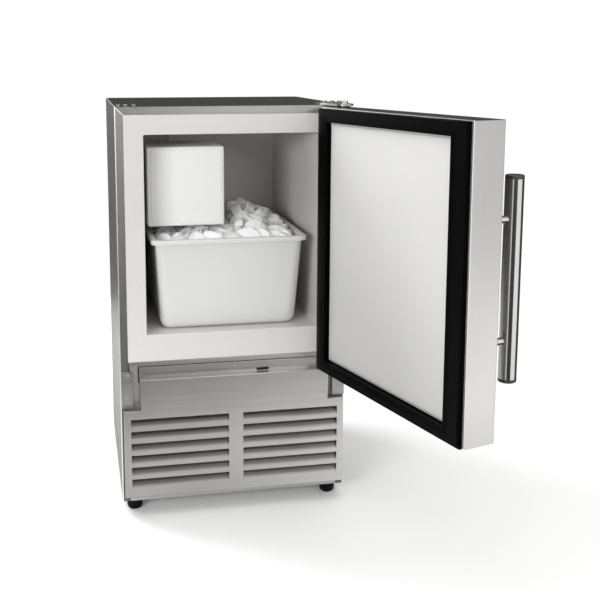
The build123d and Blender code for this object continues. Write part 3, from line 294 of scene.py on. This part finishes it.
def dress_cabinet():
    # The side, top, front and grille sheets are one stainless steel; their different base tones are
    # painted light and shade.
    side = brushed("side_steel", scaled(WARM, 0.30), 0.4, "y", 0.07, cabinet_edge_highlights, low_side)
    top = brushed("top_steel", scaled(WARM, 0.33), 0.36, "x", 0.07, cabinet_edge_highlights, top_shade)
    assign(side, "left_side_panel", "right_side_panel")
    assign(top, "top_panel")
    assign(ZINC, "rear_panel", "rear_service_cover", "base_pan", "compartment_deck", "front_posts")
    bright = brushed("front_steel", scaled(WARM, 0.50), 0.36, "x", 0.07, painted_light=paler_right)
    assign(bright, "trim_strip", "front_rail", "hinge_blank_plate")
    grille = brushed("grille_steel", scaled(WARM, 0.45), 0.36, "x", 0.06, painted_light=dark_slots)
    assign(grille, "grille_panel")
    hinge = brushed("hinge_steel", scaled(WARM, 0.45), 0.3, "z", 0.06)
    assign(hinge, "top_hinge_plate", "lower_hinge_bracket")
    assign(SCREW, "hinge_pins", "front_screws", "rear_screws", "grille_clips")
    assign(brushed("plug_steel", scaled(WARM, 0.2), 0.4, "z", 0.06), "top_screws")
    assign(RUBBER, "rail_grommet")
    foam = moulded("foam", (0.80, 0.72, 0.48), 0.8, 400.0, 0.4)
    assign(foam, "foam_insulation", "door_foam")
    feet = moulded("foot_plastic", (0.003, 0.003, 0.003), 0.45, 1200.0, 0.04, shine=0.08)
    for name in nodes:
        if name.endswith("_foot"):
            assign(feet, name)


def dress_compartment():
    low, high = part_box("inner_liner")
    # Painted shade: the liner's white darkens from the front to the back of the compartment.
    wall = painted_depth_shade((0.72, 0.70, 0.68), low.y + 110 * MM, high.y - 10 * MM)
    assign(moulded("liner_white", (0.67, 0.66, 0.64), 0.34, 2600.0, 0.02, wall), "inner_liner")
    # The base tones of the liner, bin and cover are set apart as painted light and shade; the
    # cover's is made palest, for the front light it lacks.
    assign(moulded("bin_white", (0.72, 0.72, 0.71), 0.32, 2200.0, 0.02), "ice_bin")
    cover = moulded("cover_white", (0.88, 0.88, 0.87), 0.4, 1500.0, 0.05)
    assign(cover, "icemaker_cover", "ice_stripper", "fill_cup")
    assign(ZINC, "icemaker_bracket", "gearmotor")
    assign(moulded("cast_mold", (0.30, 0.30, 0.31), 0.5, 700.0, 0.1, metallic=1.0), "ice_mold")
    grey = moulded("gear_plastic", (0.16, 0.16, 0.17), 0.45)
    assign(grey, "ejector_rotor", "drive_gear", "motor_pinion")
    assign(SCREW, "mold_heater", "shutoff_arm")
    assign(moulded("water_tube_plastic", (0.7, 0.7, 0.66), 0.3), "water_tube")


def dress_machine():
    assign(COPPER, "evaporator_coil", "condenser_tube", "filter_drier", "refrigerant_lines")
    enamel = moulded("black_enamel", (0.015, 0.015, 0.016), 0.3, 500.0, 0.03, coat=0.4)
    assign(enamel, "compressor", "fan_motor")
    assign(RUBBER, "compressor_grommets")
    assign(brushed("fin_aluminium", scaled(WARM, 0.6), 0.35, "z", 0.05), "condenser_fins")
    assign(ZINC, "fan_shroud", "control_box")
    assign(BLACK, "fan_blade", "water_valve", "power_gland", "hinge_bushings")


def door_shade(t):
    """Painted light and shade of the door's skin: bright low down, where it would mirror the floor,
    and dull on its upper face.
    """
    low_end = t.range(t.axis("Z"), 240 * MM, 560 * MM, 1.4, 0.82, smooth=True)
    return t.math("MULTIPLY", low_end, dark_above(DOOR_TOP, 0.27)(t))


def panel_painted_shadow(t, tone):
    """Painted shadow of the cabinet on the door's white panel: a diagonal shade, placed for the door
    as it stands open.
    """
    slope = t.math("ADD", t.axis("Z"), t.math("MULTIPLY", t.axis("Y"), -0.45))
    upper = t.range(slope, 420 * MM, 700 * MM, 0.0, 1.0, smooth=True)
    return t.mix(upper, scaled((1.0, 0.995, 0.98), 0.56), tone)


def dress_door():
    # The door's skin is given a paler base tone than the cabinet's sides as painted light, with
    # painted edge highlights and door_shade's painted light and shade.
    skin = brushed("door_steel", scaled(WARM, 0.6), 0.34, "z", 0.04, door_edge_highlights, door_shade)
    assign(skin, "door_skin")
    white = moulded("door_white", (0.74, 0.737, 0.725), 0.3, 2600.0, 0.015, panel_painted_shadow)
    assign(white, "door_liner")
    gasket = moulded("gasket_rubber", (0.0015, 0.0015, 0.0015), 0.4, 1500.0, 0.03, shine=0.035)
    assign(gasket, "door_gasket")
    handle = brushed("handle_steel", scaled(WARM, 0.6), 0.14, "z", 0.04)
    assign(handle, "handle_bar", "handle_standoffs")
    assign(moulded("handle_cap", (0.05, 0.05, 0.05), 0.35), "handle_end_caps")


# ---------------------------------------------------------------- ice
ICE_SEED = 7
ICE_LAYERS = 3
ICE_PITCH = 18 * MM
WELL_CORNER = 14 * MM
ICE_MARGIN = 27 * MM
CORE_STEPS = 44
CORE_INSET = 13 * MM
BAIL_END = 8.0 * MM
BAIL_CLEAR = 441.0 * MM


def crescent(rng):
    """One half-moon piece of ice as points and faces around the origin."""
    radius = rng.uniform(18, 23) * MM
    width = rng.uniform(13, 18) * MM
    steps = 6
    rim = []
    for i in range(steps + 1):
        angle = math.pi * i / steps
        rim.append((radius * math.cos(angle), radius * math.sin(angle)))
    piece = bmesh.new()
    rows = []
    for side, taper in ((-0.5, 0.8), (0.5, 1.0)):
        rows.append([piece.verts.new((x * taper, side * width, z * taper)) for x, z in rim])
    piece.faces.new(rows[0])
    piece.faces.new(list(reversed(rows[1])))
    for i in range(steps + 1):
        j = (i + 1) % (steps + 1)
        piece.faces.new((rows[0][j], rows[0][i], rows[1][i], rows[1][j]))
    bmesh.ops.recalc_face_normals(piece, faces=piece.faces)
    bmesh.ops.bevel(piece, geom=piece.edges[:], offset=0.8 * MM, segments=2, affect="EDGES")
    for v in piece.verts:
        v.co += 0.6 * MM * noise.noise_vector(v.co * 90 + Vector((radius, width, 0)) * 900)
    return piece


def heap_height(x, y, low, high):
    """Height of the heap's surface over one point of the bin."""
    across = (x - low.x) / (high.x - low.x)
    along = (y - low.y) / (high.y - low.y)
    hill = math.exp(-((across - 0.66) / 0.19) ** 2 - ((along - 0.52) / 0.27) ** 2)
    ripple = noise.noise(Vector((x, y, 0.3)) * 28)
    return high.z - 10 * MM + 36 * MM * hill + 4 * MM * ripple


def lowered(piece, rng):
    """Piece moved bodily down where the swinging bail or the module would meet it."""
    if min(v.co.x for v in piece.verts) < BAIL_END:
        top = BAIL_CLEAR - rng.uniform(0, 5) * MM
        drop = max(max(v.co.z for v in piece.verts) - top, 0.0)
        piece.transform(Matrix.Translation((0, 0, -drop)))


def inside_bin(point, low, high):
    """Point moved inside the tapering walls and rounded corners of the bin."""
    inset = 10.5 * MM + 0.1 * max(high.z - point.z, 0.0)
    half = (high - low) / 2 - Vector((inset, inset, 0.0))
    middle = (high + low) / 2
    across, along = point.x - middle.x, point.y - middle.y
    over_x = max(abs(across) - half.x + WELL_CORNER, 0.0)
    over_y = max(abs(along) - half.y + WELL_CORNER, 0.0)
    over = math.hypot(over_x, over_y)
    if over > WELL_CORNER:
        shrink = 1.0 - WELL_CORNER / over
        point.x -= math.copysign(over_x * shrink, across)
        point.y -= math.copysign(over_y * shrink, along)


def ice_pieces(low, high):
    """Loose pieces lying on the heap, as one mesh in the making."""
    rng = random.Random(ICE_SEED)
    noise.seed_set(ICE_SEED)
    whole = bmesh.new()
    rows = round((high.y - low.y - 2 * ICE_MARGIN) / ICE_PITCH)
    columns = round((high.x - low.x - 2 * ICE_MARGIN) / ICE_PITCH)
    for layer in range(ICE_LAYERS):
        for row in range(rows + 1):
            for column in range(columns + 1):
                x = low.x + ICE_MARGIN + (column + rng.uniform(-0.4, 0.4)) * ICE_PITCH
                y = low.y + ICE_MARGIN + (row + rng.uniform(-0.4, 0.4)) * ICE_PITCH
                x = min(max(x, low.x + ICE_MARGIN), high.x - ICE_MARGIN)
                y = min(max(y, low.y + ICE_MARGIN), high.y - ICE_MARGIN)
                z = heap_height(x, y, low, high) - (9 * layer + rng.uniform(3, 8)) * MM
                piece = crescent(rng)
                turn = Matrix.Rotation(rng.uniform(0, 2 * math.pi), 4, "Z")
                tip = Matrix.Rotation(rng.uniform(-1.3, 1.3), 4, "X")
                roll = Matrix.Rotation(rng.uniform(-0.8, 0.8), 4, "Y")
                piece.transform(Matrix.Translation((x, y, z)) @ turn @ tip @ roll)
                lowered(piece, rng)
                part = bpy.data.meshes.new("piece")
                piece.to_mesh(part)
                piece.free()
                whole.from_mesh(part)
                bpy.data.meshes.remove(part)
    return whole


def ice_core(whole, low, high):
    """Lumpy surface of broken ice under the loose pieces."""
    rows = []
    for j in range(CORE_STEPS + 1):
        row = []
        for i in range(CORE_STEPS + 1):
            x = low.x + CORE_INSET + (high.x - low.x - 2 * CORE_INSET) * i / CORE_STEPS
            y = low.y + CORE_INSET + (high.y - low.y - 2 * CORE_INSET) * j / CORE_STEPS
            lump = noise.voronoi(Vector((x, y, 0.0)) * 55)[0][0]
            z = heap_height(x, y, low, high) - 4 * MM - 12 * MM * lump
            if x < BAIL_END + 8 * MM:
                z = min(z, BAIL_CLEAR)
            row.append(whole.verts.new((x, y, z)))
        rows.append(row)
    for j in range(CORE_STEPS):
        for i in range(CORE_STEPS):
            whole.faces.new((rows[j][i], rows[j][i + 1], rows[j + 1][i + 1], rows[j + 1][i]))


def ice_heap():
    """Heap of half-moon ice in the bin, which goes with the bin."""
    low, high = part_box("ice_bin")
    whole = ice_pieces(low, high)
    ice_core(whole, low, high)
    for v in whole.verts:
        inside_bin(v.co, low, high)
    mesh = bpy.data.meshes.new("ice_heap")
    whole.to_mesh(mesh)
    whole.free()
    heap = bpy.data.objects.new("ice_heap", mesh)
    bpy.context.scene.collection.objects.link(heap)
    mesh.materials.append(ice_material())
    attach(heap, "bin")


def ice_material():
    """Cloudy ice: pale, with a frosted skin and milky patches."""
    t = Tree("ice")
    milk = t.noise(70.0, 4.0, 0.6)
    frost = t.noise(520.0, 3.0, 0.6)
    t.link(t.mix(t.range(milk, 0.35, 0.65, 0.0, 1.0), (0.90, 0.905, 0.905), (0.96, 0.96, 0.96)),
           t.shader.inputs["Base Color"])
    t.link(t.range(frost, 0.3, 0.7, 0.16, 0.4), t.shader.inputs["Roughness"])
    t.shader.inputs["IOR"].default_value = 1.31
    t.shader.inputs["Subsurface Weight"].default_value = 0.3
    t.shader.inputs["Subsurface Radius"].default_value = (0.010, 0.010, 0.010)
    t.bump(frost, 0.3, 0.2 * MM)
    return t.material


# ---------------------------------------------------------------- stage, light and camera
FLOOR_RADIUS = 0.95
FLOOR_BACK = 0.30
HORIZON = 0.06
ZENITH = 2.2


def floor():
    """Round pale floor."""
    ring = bmesh.new()
    bmesh.ops.create_circle(ring, cap_ends=True, radius=FLOOR_RADIUS, segments=128)
    mesh = bpy.data.meshes.new("floor")
    ring.to_mesh(mesh)
    ring.free()
    plane = bpy.data.objects.new("floor", mesh)
    plane.location.y = FLOOR_BACK
    bpy.context.scene.collection.objects.link(plane)
    t = Tree("floor_paint")
    t.link(t.mix(t.noise(3.0), (0.95, 0.95, 0.95), (0.97, 0.97, 0.97)),
           t.shader.inputs["Base Color"])
    t.shader.inputs["Roughness"].default_value = 0.8
    t.shader.inputs["Specular IOR Level"].default_value = 0.1
    mesh.materials.append(t.material)


def sky():
    """Soft light mostly from above; what the camera sees behind the object is plain white."""
    world = bpy.data.worlds.new("studio")
    world.use_nodes = True
    tree = world.node_tree
    tree.nodes.clear()
    out = tree.nodes.new("ShaderNodeOutputWorld")
    mix = tree.nodes.new("ShaderNodeMixShader")
    path = tree.nodes.new("ShaderNodeLightPath")
    light = tree.nodes.new("ShaderNodeBackground")
    white = tree.nodes.new("ShaderNodeBackground")
    direction = tree.nodes.new("ShaderNodeTexCoord").outputs["Generated"]
    split = tree.nodes.new("ShaderNodeSeparateXYZ")
    tree.links.new(direction, split.inputs[0])
    rise = tree.nodes.new("ShaderNodeMath")
    rise.operation = "MAXIMUM"
    rise.inputs[1].default_value = 0.0
    tree.links.new(split.outputs["Z"], rise.inputs[0])
    power = tree.nodes.new("ShaderNodeMath")
    power.operation = "POWER"
    power.inputs[1].default_value = 4.0
    tree.links.new(rise.outputs[0], power.inputs[0])
    level = tree.nodes.new("ShaderNodeMath")
    level.operation = "MULTIPLY_ADD"
    level.inputs[1].default_value = ZENITH
    level.inputs[2].default_value = HORIZON
    tree.links.new(power.outputs[0], level.inputs[0])
    light.inputs["Color"].default_value = (1.0, 0.995, 0.985, 1.0)
    tree.links.new(level.outputs[0], light.inputs["Strength"])
    white.inputs["Color"].default_value = (1.0, 1.0, 1.0, 1.0)
    white.inputs["Strength"].default_value = 1.02
    tree.links.new(path.outputs["Is Camera Ray"], mix.inputs["Fac"])
    tree.links.new(light.outputs[0], mix.inputs[1])
    tree.links.new(white.outputs[0], mix.inputs[2])
    tree.links.new(mix.outputs[0], out.inputs["Surface"])
    bpy.context.scene.world = world


def softbox(name, place, target, size, radiance):
    """Rectangular lamp of a given brightness that the camera itself doesn't see."""
    data = bpy.data.lights.new(name, "AREA")
    data.shape = "RECTANGLE"
    data.size, data.size_y = size
    data.energy = radiance * math.pi * size[0] * size[1]
    lamp = bpy.data.objects.new(name, data)
    bpy.context.scene.collection.objects.link(lamp)
    lamp.location = place
    lamp.rotation_euler = (Vector(target) - Vector(place)).to_track_quat("-Z", "Y").to_euler()
    lamp.visible_camera = False


def lights():
    """Sky and five softboxes; the first two are the ones that the handle mirrors."""
    by_handle = (0.27, -0.5, 0.7)
    sky()
    softbox("right_front", (1.69, -1.92, 0.7), by_handle, (2.3, 3.0), 1.1)
    softbox("strip", (-0.90, -1.99, 0.7), by_handle, (0.33, 2.6), 0.9)
    softbox("left_front", (-1.35, -1.85, 0.85), (0.1, -0.1, 0.5), (0.9, 0.45), 20.0)
    softbox("front", (0.25, -2.3, 0.88), (0.0, 0.0, 0.5), (0.8, 0.5), 5.0)
    softbox("back_left", (-1.23, 1.08, 1.45), (0.2, -0.35, 0.45), (1.0, 1.0), 10.0)


def camera():
    """Eye height a little over the cabinet's top, to its left, looking slightly down."""
    data = bpy.data.cameras.new("camera")
    data.sensor_width = 36.0
    data.lens = 57.24
    data.shift_x = 0.0633
    data.shift_y = -0.156
    eye = bpy.data.objects.new("camera", data)
    bpy.context.scene.collection.objects.link(eye)
    eye.location = (-0.2361, -1.5965, 0.7044)
    eye.rotation_euler = (math.radians(90 - 8.67), 0, math.radians(-11.13))
    bpy.context.scene.camera = eye


dress_cabinet()
dress_compartment()
dress_machine()
dress_door()
ice_heap()
floor()
lights()
camera()
bpy.context.scene.view_settings.view_transform = "Standard"
